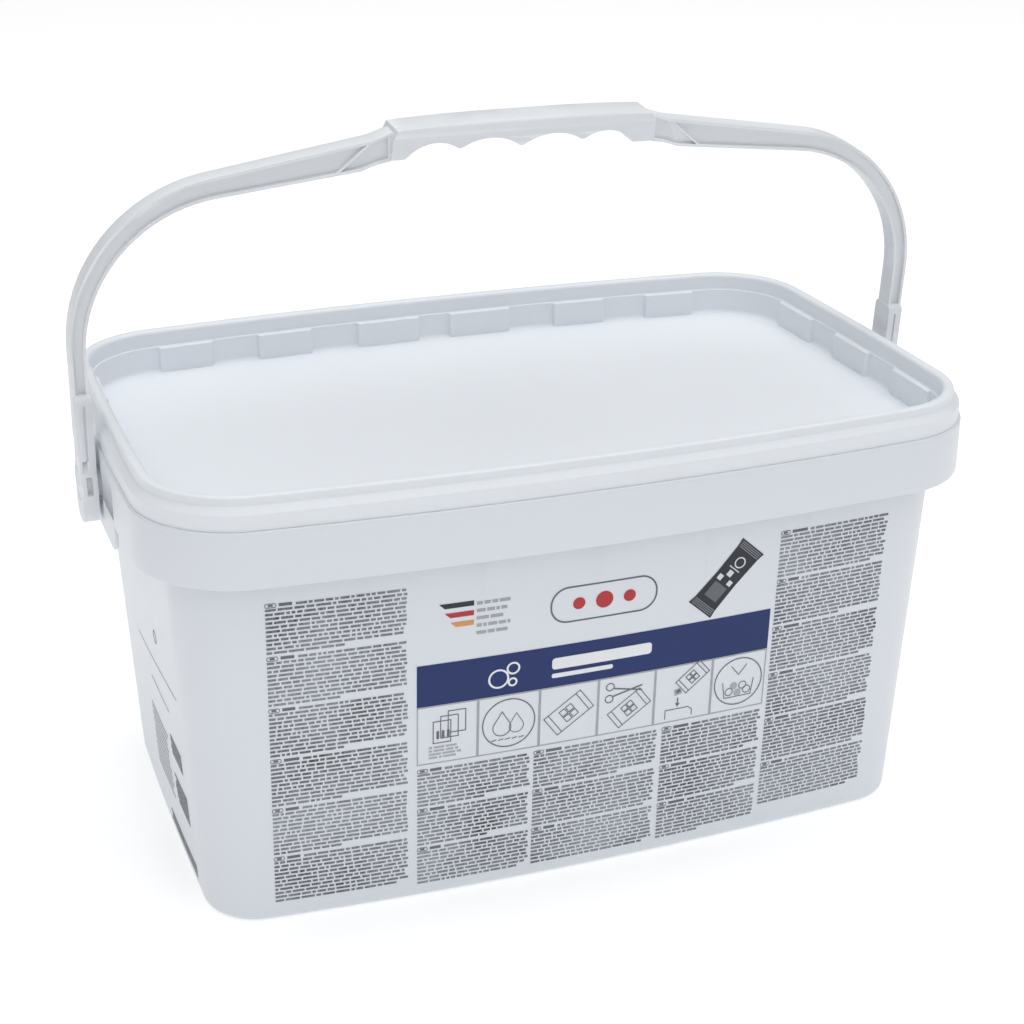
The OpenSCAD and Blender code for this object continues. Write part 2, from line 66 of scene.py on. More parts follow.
def findCorner():
    # the corner circle's centre lies at the same distance from both side arcs
    gap = math.hypot(shortCentre, longCentre)
    longReach = longRadius - outline["cornerRadius"]
    shortReach = shortRadius - outline["cornerRadius"]
    along = (longReach ** 2 - shortReach ** 2 + gap ** 2) / (2 * gap)
    across = math.sqrt(longReach ** 2 - along ** 2)
    toward = Vector((shortCentre, -longCentre)) / gap
    return Vector((0, longCentre)) + along * toward + across * Vector((toward.y, -toward.x))


corner = findCorner()
longEnd = math.atan2(corner.y - longCentre, corner.x)
shortEnd = math.atan2(corner.y, corner.x - shortCentre)


def arcPoints(cx, cy, radius, start, end, steps):
    turns = [start + (end - start) * i / steps for i in range(steps + 1)]
    return [(cx + radius * math.cos(t), cy + radius * math.sin(t)) for t in turns]


def levelPoints(inset):
    # whole outline at one inset, counter-clockwise from the middle of the right side
    quarter = arcPoints(shortCentre, 0, shortRadius - inset, 0, shortEnd, outline["shortSteps"])[:-1]
    quarter += arcPoints(corner.x, corner.y, outline["cornerRadius"] - inset, shortEnd, longEnd,
                         outline["cornerSteps"])[:-1]
    quarter += arcPoints(0, longCentre, longRadius - inset, longEnd, math.pi / 2, outline["longSteps"])
    left = [(-x, y) for x, y in reversed(quarter)][1:]
    front = [(-x, -y) for x, y in quarter][1:]
    right = [(x, -y) for x, y in reversed(quarter)][1:-1]
    return quarter + left + front + right


# Mesh helpers

def newPiece(name, points, faces):
    mesh = bpy.data.meshes.new(name)
    mesh.from_pydata([Vector(p) * mm for p in points], [], faces)
    piece = bpy.data.objects.new(name, mesh)
    bpy.context.scene.collection.objects.link(piece)
    cleanNormals(piece)
    return piece


def cleanNormals(piece):
    work = bmesh.new()
    work.from_mesh(piece.data)
    bmesh.ops.recalc_face_normals(work, faces=work.faces)
    work.to_mesh(piece.data)
    work.free()


def applyModifiers(piece):
    view = bpy.context.evaluated_depsgraph_get()
    old = piece.data
    piece.data = bpy.data.meshes.new_from_object(piece.evaluated_get(view))
    piece.modifiers.clear()
    bpy.data.meshes.remove(old)


def bevelEdges(piece, width, angle, segments=3):
    bevel = piece.modifiers.new("bevel", "BEVEL")
    bevel.width = width * mm
    bevel.segments = segments
    bevel.limit_method = "ANGLE"
    bevel.angle_limit = math.radians(angle)
    bevel.use_clamp_overlap = True
    applyModifiers(piece)


def combine(base, parts):
    for part in parts:
        join = base.modifiers.new("combine", "BOOLEAN")
        join.operation = "UNION"
        join.solver = "EXACT"
        join.object = part
        applyModifiers(base)
        bpy.data.objects.remove(part)


def smoothShade(piece, angle=35):
    for face in piece.data.polygons:
        face.use_smooth = True
    piece.data.set_sharp_from_angle(angle=math.radians(angle))


fillet = {"straight": 0.02, "edgeShare": 0.48, "stepDegrees": 18}   # straight is an angle in radians


def roundedRows(corners):
    # profile of (inset, height) with each corner filleted by its own radius
    rows = [corners[0][:2]]
    for before, here, after in zip(corners, corners[1:], corners[2:]):
        radius = here[2]
        point = Vector(here[:2])
        back = Vector(before[:2]) - point
        ahead = Vector(after[:2]) - point
        turn = math.pi - back.angle(ahead)
        if radius == 0 or turn < fillet["straight"]:
            rows.append(tuple(point))
            continue
        reach = radius * math.tan(turn / 2)
        reach = min(reach, fillet["edgeShare"] * back.length, fillet["edgeShare"] * ahead.length)
        radius = reach / math.tan(turn / 2)
        start = point + back.normalized() * reach
        end = point + ahead.normalized() * reach
        inward = (back.normalized() + ahead.normalized()).normalized()
        centre = point + inward * math.hypot(radius, reach)
        steps = max(2, math.ceil(math.degrees(turn) / fillet["stepDegrees"]))
        first = math.atan2(start.y - centre.y, start.x - centre.x)
        last = math.atan2(end.y - centre.y, end.x - centre.x)
        sweep = (last - first + math.pi) % (2 * math.pi) - math.pi
        rows += arcPoints(centre.x, centre.y, radius, first, first + sweep, steps)
    rows.append(corners[-1][:2])
    return rows


def sweptShell(name, rows):
    # closed body swept round the outline, its first and last rows capped
    points = []
    for inset, height in rows:
        points += [(x, y, height) for x, y in levelPoints(inset)]
    count = len(levelPoints(0))
    faces = [list(range(count))]
    for k in range(len(rows) - 1):
        for i in range(count):
            j = (i + 1) % count
            faces.append([k * count + i, (k + 1) * count + i, (k + 1) * count + j, k * count + j])
    faces.append([(len(rows) - 1) * count + i for i in reversed(range(count))])
    return newPiece(name, points, faces)


def prism(name, shape, place, depth):
    # flat shape of (a, b) points, placed by a function at two depths
    count = len(shape)
    points = [place(a, b, depth[0]) for a, b in shape] + [place(a, b, depth[1]) for a, b in shape]
    faces = [list(range(count)), [count + i for i in reversed(range(count))]]
    faces += [[i, (i + 1) % count, count + (i + 1) % count, count + i] for i in range(count)]
    return newPiece(name, points, faces)


def turnedPiece(name, profile, height, side, steps=64):
    # body turned about the hinge axis from (x, radius) points
    points = []
    for x, r in profile:
        points += [(side * x, y, height + z) for y, z in arcPoints(0, 0, r, 0, 2 * math.pi, steps)[:-1]]
    faces = [list(range(steps)), [(len(profile) - 1) * steps + i for i in range(steps)]]
    for k in range(len(profile) - 1):
        for i in range(steps):
            j = (i + 1) % steps
            faces.append([k * steps + i, k * steps + j, (k + 1) * steps + j, (k + 1) * steps + i])
    return newPiece(name, points, faces)


# Node helpers for the materials

def setInputs(node, inputs):
    for label, value in inputs.items():
        node.inputs[label].default_value = value


def addNode(tree, kind, place, inputs=(), **values):
    node = tree.nodes.new(kind)
    node.location = place
    for key, value in values.items():
        setattr(node, key, value)
    setInputs(node, dict(inputs))
    return node


def groupWith(name, inputs, outputs):
    tree = bpy.data.node_groups.new(name, "ShaderNodeTree")
    for label, value, low, high in inputs:
        socket = tree.interface.new_socket(name=label, in_out="INPUT", socket_type="NodeSocketFloat")
        socket.default_value, socket.min_value, socket.max_value = value, low, high
    for label in outputs:
        tree.interface.new_socket(name=label, in_out="OUTPUT", socket_type="NodeSocketFloat")
    entry = addNode(tree, "NodeGroupInput", (-900, 0))
    leave = addNode(tree, "NodeGroupOutput", (700, 0))
    return tree, entry, leave


def mathNode(tree, operation, place, first, second):
    node = addNode(tree, "ShaderNodeMath", place, operation=operation)
    for socket, source in zip(node.inputs, (first, second)):
        if isinstance(source, (int, float)):
            socket.default_value = source
        else:
            tree.links.new(source, socket)
    return node.outputs[0]


skinNoise = {
    "flowDetail": 3, "grainDetail": 2, "scuffDetail": 8, "scuffRoughness": 0.7,
    "scuffStretch": (0.25, 1, 2.2), "scuffTurn": (0.4, 0.9, 0.3),
    "scuffStart": 0.56, "scuffFull": 0.72, "scuffDepth": -0.4,
}


def buildMouldedSkin():
    # tone and gloss of moulded plastic: cloudy flow marks, fine grain and handling scuffs
    d = skinNoise
    tree, entry, leave = groupWith("mouldedSkin", [
        ("Flow Scale", 9, 0, 200), ("Flow Amount", 0.02, 0, 1),
        ("Grain Scale", 1800, 0, 9000), ("Scuff Scale", 60, 0, 900), ("Scuff Amount", 0.1, 0, 1),
    ], ["Tone", "Gloss Shift", "Height"])
    where = addNode(tree, "ShaderNodeTexCoord", (-900, 400)).outputs["Object"]
    flow = addNode(tree, "ShaderNodeTexNoise", (-600, 300), {"Detail": d["flowDetail"]})
    grain = addNode(tree, "ShaderNodeTexNoise", (-600, 0), {"Detail": d["grainDetail"]})
    stretch = addNode(tree, "ShaderNodeMapping", (-800, -300), {
        "Scale": d["scuffStretch"], "Rotation": d["scuffTurn"]})
    scuff = addNode(tree, "ShaderNodeTexNoise", (-600, -300), {
        "Detail": d["scuffDetail"], "Roughness": d["scuffRoughness"]})
    for node, scale in ((flow, "Flow Scale"), (grain, "Grain Scale"), (scuff, "Scuff Scale")):
        tree.links.new(entry.outputs[scale], node.inputs["Scale"])
    tree.links.new(where, flow.inputs["Vector"])
    tree.links.new(where, grain.inputs["Vector"])
    tree.links.new(where, stretch.inputs["Vector"])
    tree.links.new(stretch.outputs[0], scuff.inputs["Vector"])
    cloud = mathNode(tree, "SUBTRACT", (-300, 300), flow.outputs[0], 0.5)
    tone = mathNode(tree, "MULTIPLY_ADD", (0, 300), cloud, entry.outputs["Flow Amount"])
    tone.node.inputs[2].default_value = 1
    mark = addNode(tree, "ShaderNodeMapRange", (-300, -300), {
        "From Min": d["scuffStart"], "From Max": d["scuffFull"]})
    tree.links.new(scuff.outputs[0], mark.inputs["Value"])
    gloss = mathNode(tree, "MULTIPLY", (0, -200), mark.outputs[0], entry.outputs["Scuff Amount"])
    lift = mathNode(tree, "MULTIPLY", (0, -400), mark.outputs[0], d["scuffDepth"])
    height = mathNode(tree, "ADD", (200, -300), grain.outputs[0], lift)
    tree.links.new(tone, leave.inputs["Tone"])
    tree.links.new(gloss, leave.inputs["Gloss Shift"])
    tree.links.new(height, leave.inputs["Height"])
    return tree


# pointiness ranges of the painted edge highlight, its gloss wear, and the painted shade in hollows
paintedLightAndWearRange = {"edgeFull": 0.62, "hollowStart": 0.48, "hollowFull": 0.36}   # of the pointiness


def buildPaintedLightAndWear():
    # convex edges get a painted highlight in their colour and lose gloss, hollows get painted shade
    tree, entry, leave = groupWith("paintedLightAndWear", [
        ("Edge Start", 0.52, 0, 1), ("Edge Amount", 0.05, 0, 1), ("Hollow Amount", 0.06, 0, 1),
    ], ["Lighten", "Darken"])
    shape = addNode(tree, "ShaderNodeNewGeometry", (-900, 300))
    edge = addNode(tree, "ShaderNodeMapRange", (-500, 200), {"From Max": paintedLightAndWearRange["edgeFull"]})
    hollow = addNode(tree, "ShaderNodeMapRange", (-500, -200), {
        "From Min": paintedLightAndWearRange["hollowStart"], "From Max": paintedLightAndWearRange["hollowFull"]})
    tree.links.new(shape.outputs["Pointiness"], edge.inputs["Value"])
    tree.links.new(entry.outputs["Edge Start"], edge.inputs["From Min"])
    tree.links.new(shape.outputs["Pointiness"], hollow.inputs["Value"])
    # painted highlight: convex edges lighter in colour; the same amount also dulls the gloss as wear
    lighten = mathNode(tree, "MULTIPLY", (0, 200), edge.outputs[0], entry.outputs["Edge Amount"])
    # painted shade: hollows darker in colour
    darken = mathNode(tree, "MULTIPLY", (0, -200), hollow.outputs[0], entry.outputs["Hollow Amount"])
    tree.links.new(lighten, leave.inputs["Lighten"])
    tree.links.new(darken, leave.inputs["Darken"])
    return tree


def buildInkGrain():
    # uneven density of a printed film
    tree, entry, leave = groupWith("inkGrain", [
        ("Dot Scale", 1500, 0, 9000), ("Dot Amount", 0.1, 0, 1), ("Patch Scale", 30, 0, 500),
    ], ["Density"])
    where = addNode(tree, "ShaderNodeTexCoord", (-900, 400)).outputs["Object"]
    dots = addNode(tree, "ShaderNodeTexNoise", (-600, 200))
    patch = addNode(tree, "ShaderNodeTexNoise", (-600, -200))
    for node, scale in ((dots, "Dot Scale"), (patch, "Patch Scale")):
        tree.links.new(where, node.inputs["Vector"])
        tree.links.new(entry.outputs[scale], node.inputs["Scale"])
    both = mathNode(tree, "ADD", (-300, 0), dots.outputs[0], patch.outputs[0])
    spread = mathNode(tree, "SUBTRACT", (-100, 0), both, 1)
    density = mathNode(tree, "MULTIPLY_ADD", (200, 0), spread, entry.outputs["Dot Amount"])
    density.node.inputs[2].default_value = 1
    tree.links.new(density, leave.inputs["Density"])
    return tree


mouldedSkin = buildMouldedSkin()
paintedLightAndWear = buildPaintedLightAndWear()
inkGrain = buildInkGrain()
print("node groups built")


def placeGroup(tree, group, place, inputs):
    return addNode(tree, "ShaderNodeGroup", place, inputs, node_tree=group)


def startMaterial(name):
    material = bpy.data.materials.new(name)
    material.use_nodes = True
    tree = material.node_tree
    shader = tree.nodes["Principled BSDF"]
    return material, tree, shader


def addBump(tree, shader, source, strength, height):
    bump = addNode(tree, "ShaderNodeBump", (-250, -300), {"Strength": strength, "Distance": height * mm})
    tree.links.new(source, bump.inputs["Height"])
    tree.links.new(bump.outputs[0], shader.inputs["Normal"])


def scaledColor(tree, place, color, factor):
    # colour times a changing factor
    node = addNode(tree, "ShaderNodeVectorMath", place, operation="SCALE")
    node.inputs[0].default_value = color
    tree.links.new(factor, node.inputs["Scale"])
    return node.outputs[0]


plasticBase = {"ior": 1.49, "glowRadius": (0.006, 0.0065, 0.008), "bumpHeight": 0.03}   # radius in metres
# the last entry of each plastic sets the painted highlight on convex edges, its gloss wear, and the painted
# shade in hollows
plastics = {
    "tub": {"color": (0.735, 0.77, 0.825), "roughness": 0.34, "bumpStrength": 0.12, "glow": 0,
            "skin": {"Flow Scale": 9, "Flow Amount": 0.03, "Grain Scale": 1600,
                     "Scuff Scale": 55, "Scuff Amount": 0.10},
            "lightAndWear": {"Edge Start": 0.52, "Edge Amount": 0.08, "Hollow Amount": 0.08}},
    "lid": {"color": (0.81, 0.845, 0.89), "roughness": 0.38, "bumpStrength": 0.12, "glow": 0.4,
            "skin": {"Flow Scale": 7, "Flow Amount": 0.04, "Grain Scale": 1500,
                     "Scuff Scale": 45, "Scuff Amount": 0.12},
            "lightAndWear": {"Edge Start": 0.52, "Edge Amount": 0.08, "Hollow Amount": 0.04}},
    "handle": {"color": (0.76, 0.785, 0.815), "roughness": 0.40, "bumpStrength": 0.16, "glow": 0.2,
               "skin": {"Flow Scale": 18, "Flow Amount": 0.04, "Grain Scale": 2200,
                        "Scuff Scale": 80, "Scuff Amount": 0.14},
               "lightAndWear": {"Edge Start": 0.52, "Edge Amount": 0.12, "Hollow Amount": 0.10}},
}
inkBase = {"ior": 1.46, "specular": 0.3, "patchScale": 30, "bumpStrength": 0.15, "bumpHeight": 0.02}
inks = {   # colour, roughness, dot scale, dot amount
    "navy": ((0.016, 0.034, 0.142), 0.40, 1600, 0.12),
    "white": ((0.82, 0.84, 0.88), 0.38, 1600, 0.06),
    "text": ((0.22, 0.23, 0.26), 0.42, 1150, 2.2),
    "line": ((0.15, 0.16, 0.18), 0.42, 1800, 0.2),
    "shade": ((0.40, 0.42, 0.45), 0.42, 1300, 0.25),
    "pale": ((0.72, 0.74, 0.78), 0.42, 1300, 0.08),
    "dark": ((0.032, 0.036, 0.050), 0.36, 1500, 0.2),
    "red": ((0.48, 0.045, 0.05), 0.38, 1500, 0.1),
    "ochre": ((0.70, 0.33, 0.10), 0.38, 1500, 0.1),
}


def plasticMaterial(name, look):
    material, tree, shader = startMaterial(name)
    skin = placeGroup(tree, mouldedSkin, (-900, 200), look["skin"])
    lightAndWear = placeGroup(tree, paintedLightAndWear, (-900, -200), look["lightAndWear"])
    # painted highlight on convex edges and painted shade in hollows, added to the colour
    tone = mathNode(tree, "ADD", (-600, 200), skin.outputs["Tone"], lightAndWear.outputs["Lighten"])
    tone = mathNode(tree, "SUBTRACT", (-450, 200), tone, lightAndWear.outputs["Darken"])
    tree.links.new(scaledColor(tree, (-250, 200), look["color"], tone), shader.inputs["Base Color"])
    rough = mathNode(tree, "ADD", (-450, 0), skin.outputs["Gloss Shift"], look["roughness"])
    rough = mathNode(tree, "ADD", (-250, 0), rough, lightAndWear.outputs["Lighten"])
    tree.links.new(rough, shader.inputs["Roughness"])
    addBump(tree, shader, skin.outputs["Height"], look["bumpStrength"], plasticBase["bumpHeight"])
    setInputs(shader, {"IOR": plasticBase["ior"], "Subsurface Weight": look["glow"],
                       "Subsurface Radius": plasticBase["glowRadius"]})
    return material


def inkMaterial(name, color, roughness, dotScale, dotAmount):
    material, tree, shader = startMaterial(name)
    grain = placeGroup(tree, inkGrain, (-800, 200), {
        "Dot Scale": dotScale, "Dot Amount": dotAmount, "Patch Scale": inkBase["patchScale"]})
    density = grain.outputs["Density"]
    tree.links.new(scaledColor(tree, (-250, 200), color, density), shader.inputs["Base Color"])
    tree.links.new(mathNode(tree, "MULTIPLY", (-250, 0), density, roughness), shader.inputs["Roughness"])
    addBump(tree, shader, density, inkBase["bumpStrength"], inkBase["bumpHeight"])
    setInputs(shader, {"IOR": inkBase["ior"], "Specular IOR Level": inkBase["specular"]})
    return material


material = {name: plasticMaterial(name + "Plastic", look) for name, look in plastics.items()}
material.update({name: inkMaterial(name + "Ink", *look) for name, look in inks.items()})
print("materials made:", len(material))


def finishPiece(piece, body, surface, replaced=()):
    piece.data.materials.clear()
    piece.data.materials.append(material[surface])
    smoothShade(piece)
    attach(piece, body)
    if replaced:
        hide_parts(*replaced)
    return piece


# Tub with its collar, ribs, hinge aprons and pins

tub = {
    "height": 211, "wall": 1.8, "floorThickness": 2.2, "floorHeight": 1.4,
    "footInset": 21.1, "footWidth": 9, "footRadius": 3.5, "draftDegrees": 2.95, "innerRadius": 4,
    "collarDrop": 12.3, "collarHeight": 25.2, "collarThickness": 1.6, "neckInset": 6,
    "shoulderDrop": 11, "shoulderHeight": 4,
    "apronDrop": 13.5, "apronWidth": 72, "apronRadius": 8, "apronOverlap": 2, "apronSkew": 0.5,
    "apronCornerSteps": 10, "apronFlatSteps": 6, "ribPitch": 52, "ribsEachWay": 2,
    "underReach": 6, "floorReach": 12,   # how far the last rows lie from the foot and the wall
    "underRound": 0.6, "footEdge": 0.5, "shoulderRound": 4, "neckRound": 2, "webRound": 0.8,
    "collarInnerEdge": 0.4, "collarOuterEdge": 0.5, "collarTopRound": 0.9, "neckFootRound": 0.5,
    "lipRound": 0.6, "neckInnerRound": 1.5, "shoulderInnerRound": 3,
}
collarTop = tub["height"] - tub["collarDrop"]
collarBottom = collarTop - tub["collarHeight"]
shoulderHeight = collarTop - tub["shoulderDrop"]
webHeight = collarTop - tub["collarThickness"]
neckInner = tub["neckInset"] + tub["wall"]


def wallInset(z):
    return tub["footInset"] - z * math.tan(math.radians(tub["draftDegrees"]))


def longReach(x, inset):
    # distance of a long side from the middle plane
    return longCentre + math.sqrt((longRadius - inset) ** 2 - x * x)


def shortReach(y, inset):
    return shortCentre + math.sqrt((shortRadius - inset) ** 2 - y * y)


def tubProfile():
    t = tub
    footEdge = wallInset(t["footRadius"]) + t["footRadius"]
    floorTop = t["floorHeight"] + t["floorThickness"]
    neckZ = shoulderHeight + t["shoulderHeight"]
    wallIn = wallInset(shoulderHeight) + t["wall"]
    floorIn = wallInset(floorTop) + t["wall"]
    underIn = footEdge + t["footWidth"]
    return [
        (underIn + t["underReach"], t["floorHeight"], 0),
        (underIn + t["floorHeight"], t["floorHeight"], t["underRound"]),
        (underIn, 0, t["footEdge"]), (wallInset(0), 0, t["footRadius"]),
        (wallInset(shoulderHeight), shoulderHeight, t["shoulderRound"]),
        (t["neckInset"], neckZ, t["neckRound"]), (t["neckInset"], webHeight, t["webRound"]),
        (t["collarThickness"], webHeight, t["webRound"]),
        (t["collarThickness"], collarBottom, t["collarInnerEdge"]),
        (0, collarBottom, t["collarOuterEdge"]), (0, collarTop, t["collarTopRound"]),
        (t["neckInset"], collarTop, t["neckFootRound"]), (t["neckInset"], t["height"], t["lipRound"]),
        (neckInner, t["height"], t["lipRound"]), (neckInner, neckZ, t["neckInnerRound"]),
        (wallIn, shoulderHeight, t["shoulderInnerRound"]),
        (floorIn, floorTop, t["innerRadius"]), (floorIn + t["floorReach"], floorTop, 0),
    ]


def collarRib(reach, place, low):
    # upright rib that ties the collar to the wall
    t = tub
    half = t["collarThickness"] / 2
    wallMid = t["wall"] / 2
    shape = [
        (reach - wallInset(low) - wallMid, low), (reach - half, low), (reach - half, webHeight + half),
        (reach - neckInner + wallMid, webHeight + half),
        (reach - neckInner + wallMid, shoulderHeight + t["shoulderHeight"]),
        (reach - wallInset(shoulderHeight) - wallMid, shoulderHeight),
    ]
    return prism("rib", shape, place, (-half, half))


def collarRibs():
    t = tub
    ribs = []
    low = collarBottom + t["collarThickness"]
    apronLow = collarBottom - t["apronDrop"] + t["apronRadius"]
    apronFlat = t["apronWidth"] / 2 - t["apronRadius"]
    for side in (-1, 1):
        for k in range(-t["ribsEachWay"], t["ribsEachWay"] + 1):
            x = k * t["ribPitch"]
            place = lambda a, b, d, x=x, s=side: (x + d, s * a, b)
            ribs.append(collarRib(longReach(x, 0), place, low))
        for y in (-apronFlat, apronFlat):
            place = lambda a, b, d, y=y, s=side: (s * a, y + d, b)
            ribs.append(collarRib(shortReach(y, 0), place, apronLow))
    return ribs


def hingeApron(side):
    # plate under the collar at a hinge, with rounded lower corners
    t = tub
    low = collarBottom - t["apronDrop"]
    top = collarBottom + t["apronOverlap"]
    half = t["apronWidth"] / 2
    radius = t["apronRadius"]
    flat = half - radius
    flats, turns = t["apronFlatSteps"], t["apronCornerSteps"]
    edge = [(-half, top)] + arcPoints(-flat, low + radius, radius, math.pi, 1.5 * math.pi, turns)
    edge += [(flat * k / flats, low) for k in range(1 - flats, flats)]
    edge += arcPoints(flat, low + radius, radius, 1.5 * math.pi, 2 * math.pi, turns) + [(half, top)]
    points = []
    for y, z in edge:
        for inset in (0, t["collarThickness"]):
            x = side * shortReach(y, inset)
            points += [(x, y, z), (x, y, top + t["apronSkew"])]
    faces = []
    for i in range(len(edge) - 1):
        a, b = 4 * i, 4 * i + 4
        faces += [[a, b, b + 1, a + 1], [a + 2, a + 3, b + 3, b + 2]]
        faces += [[a, a + 2, b + 2, b], [a + 1, b + 1, b + 3, a + 3]]
    last = 4 * len(edge) - 4
    faces += [[0, 1, 3, 2], [last, last + 2, last + 3, last + 1]]
    return newPiece("apron", points, faces)


hinge = {
    "height": next(j for j in frame["joints"] if j["name"] == "handle_swing")["pos_m"][2] / mm,
    "pinRadius": 5, "bossRadius": 7, "headRadius": 7.5, "headThickness": 1.5, "gap": 0.3,
    "earGap": 1.6, "earThickness": 7.2, "bossEdge": 0.4, "headEdge": 0.2,
    "headRound": [(0.5, 0), (0.15, 0.2), (0, 0.6)],     # (behind the head's face, inside its radius)
    "dimple": [(0, 1.6), (0.4, 1.1), (0.4, 0.01)],      # (behind the head's face, radius)
}


def hingePin(side):
    h = hinge
    base = halfLength - tub["collarThickness"] / 2
    bossEnd = halfLength + h["earGap"] - h["gap"]
    headStart = halfLength + h["earGap"] + h["earThickness"] - h["headThickness"] - h["gap"] / 3
    headEnd = headStart + h["headThickness"]
    profile = [
        (base, h["bossRadius"]), (bossEnd - h["bossEdge"], h["bossRadius"]),
        (bossEnd, h["bossRadius"] - h["bossEdge"]), (bossEnd, h["pinRadius"]),
        (headStart, h["pinRadius"]), (headStart, h["headRadius"] - h["headEdge"]),
        (headStart + h["headEdge"], h["headRadius"]),
    ]
    profile += [(headEnd - back, h["headRadius"] - inside) for back, inside in h["headRound"]]
    profile += [(headEnd - back, radius) for back, radius in h["dimple"]]
    return turnedPiece("pin", profile, h["height"], side)


def buildTub():
    piece = sweptShell("tubShell", roundedRows(tubProfile()))
    combine(piece, [hingeApron(-1), hingeApron(1)])
    combine(piece, collarRibs())
    combine(piece, [hingePin(-1), hingePin(1)])
    cleanNormals(piece)
    return finishPiece(piece, "tub_body", "tub", ["tub"])


tubShell = buildTub()
print("tub built, faces:", len(tubShell.data.polygons))

# Lid with its raised rim, sunk panel and stacking lugs

lid = {
    "thickness": 1.4, "gap": 0.25, "rimRise": 3.8, "skirtInset": 1.2, "shoulderRise": 3.1,
    "skirtGap": 0.06, "panelDepth": 21, "ledgeDepth": 8.2, "ledgeWidth": 1,
    "longLugs": [(8, 42), (66, 95), (118, 146)], "shortLugs": [(41, 76)], "middleLug": 17,
    "lugReach": 2.3, "lugSlope": 0.8, "lugSteps": 6, "lugDrop": 0.15, "lugBevel": 0.45, "lugDegrees": 50,
    "underReach": 9, "panelReach": 8,    # how far the last rows lie from the recess
    "panelRound": 2.2, "ledgeUnderRound": 0.4, "innerRound": 0.3, "skirtRound": 0.5, "skirtEdge": 0.15,
    "shoulderRound": 1.2, "rimOuterRound": 1.1, "rimInnerRound": 2.2, "ledgeFootRound": 0.5,
    "ledgeRound": 0.45,
}
lidTop = tub["height"] + lid["gap"] + lid["thickness"]
panelHeight = lidTop - lid["panelDepth"]
ledgeHeight = lidTop - lid["ledgeDepth"]
rimOuter = tub["neckInset"] - lid["gap"] - lid["thickness"]
rimInner = neckInner + lid["gap"] + lid["thickness"]
recessInset = rimInner + lid["ledgeWidth"]


def lidProfile():
    d = lid
    t = d["thickness"]
    skirtTop = lidTop - d["rimRise"] - d["shoulderRise"]
    skirtBottom = collarTop + d["skirtGap"]
    return [
        (recessInset - t + d["underReach"], panelHeight - t, 0),
        (recessInset - t, panelHeight - t, d["panelRound"]),
        (recessInset - t, ledgeHeight - t, d["ledgeUnderRound"]),
        (rimInner - t, ledgeHeight - t, d["innerRound"]), (rimInner - t, lidTop - t, d["innerRound"]),
        (rimOuter + t, lidTop - t, d["innerRound"]),
        (rimOuter + t, lidTop - d["rimRise"] - t, d["innerRound"]),
        (d["skirtInset"] + t, skirtTop - t / 2, d["skirtRound"]),
        (d["skirtInset"] + t, skirtBottom, d["innerRound"]),
        (d["skirtInset"], skirtBottom, d["skirtEdge"]), (d["skirtInset"], skirtTop, d["shoulderRound"]),
        (rimOuter, lidTop - d["rimRise"], d["shoulderRound"]), (rimOuter, lidTop, d["rimOuterRound"]),
        (rimInner, lidTop, d["rimInnerRound"]), (rimInner, ledgeHeight, d["ledgeFootRound"]),
        (recessInset, ledgeHeight, d["ledgeRound"]), (recessInset, panelHeight, d["panelRound"]),
        (recessInset + d["panelReach"], panelHeight, 0),
    ]


def lugShape(radius, centre, start, end):
    base = radius - recessInset + lid["thickness"] / 2
    face = radius - recessInset - lid["lugReach"]
    steps, slope = lid["lugSteps"], lid["lugSlope"]
    rear = [start + (end - start) * i / steps for i in range(steps + 1)]
    front = [end - slope - (end - start - 2 * slope) * i / steps for i in range(steps + 1)]
    return ([(s, centre + math.sqrt(base ** 2 - s * s)) for s in rear]
            + [(s, centre + math.sqrt(face ** 2 - s * s)) for s in front])


def lidLugs():
    places = []
    for side in (-1, 1):
        for start, end in lid["longLugs"]:
            for flip in (-1, 1):
                places.append((longRadius, longCentre, start, end,
                               lambda a, b, z, s=side, f=flip: (f * a, s * b, z)))
        for start, end in lid["shortLugs"]:
            for flip in (-1, 1):
                places.append((shortRadius, shortCentre, start, end,
                               lambda a, b, z, s=side, f=flip: (s * b, f * a, z)))
        places.append((shortRadius, shortCentre, -lid["middleLug"], lid["middleLug"],
                       lambda a, b, z, s=side: (s * b, a, z)))
    lugs = []
    for radius, centre, start, end, place in places:
        lug = prism("lug", lugShape(radius, centre, start, end), place,
                    (panelHeight - lid["thickness"] / 2, ledgeHeight - lid["lugDrop"]))
        bevelEdges(lug, lid["lugBevel"], lid["lugDegrees"])
        lugs.append(lug)
    return lugs


def buildLid():
    piece = sweptShell("lidShell", roundedRows(lidProfile()))
    combine(piece, lidLugs())
    cleanNormals(piece)
    return finishPiece(piece, "lid_body", "lid", ["lid"])


lidShell = buildLid()
print("lid built, faces:", len(lidShell.data.polygons))

# Handle: the frame's own solid with its edges rounded

handle = {"weld": 0.002, "flatDegrees": 0.5, "edgeRadius": 0.55, "edgeDegrees": 30}


def buildHandle():
    piece = frame["nodes"]["handle"].copy()
    piece.data = piece.data.copy()
    piece.name = "handleBow"
    piece.parent = None
    bpy.context.scene.collection.objects.link(piece)
    work = bmesh.new()
    work.from_mesh(piece.data)
    bmesh.ops.remove_doubles(work, verts=work.verts, dist=handle["weld"] * mm)
    bmesh.ops.dissolve_limit(work, angle_limit=math.radians(handle["flatDegrees"]), verts=work.verts,
                             edges=work.edges)
    work.to_mesh(piece.data)
    work.free()
    bevelEdges(piece, handle["edgeRadius"], handle["edgeDegrees"])
    cleanNormals(piece)
    return finishPiece(piece, "handle_body", "handle", ["handle"])


handleBow = buildHandle()
print("handle built, faces:", len(handleBow.data.polygons))

# Print: flat shapes in (along the wall, height), wrapped round the walls as thin closed films

film = {"lift": 0.06, "thickness": 0.07, "longestStep": 9, "sharpestMitre": 0.3}


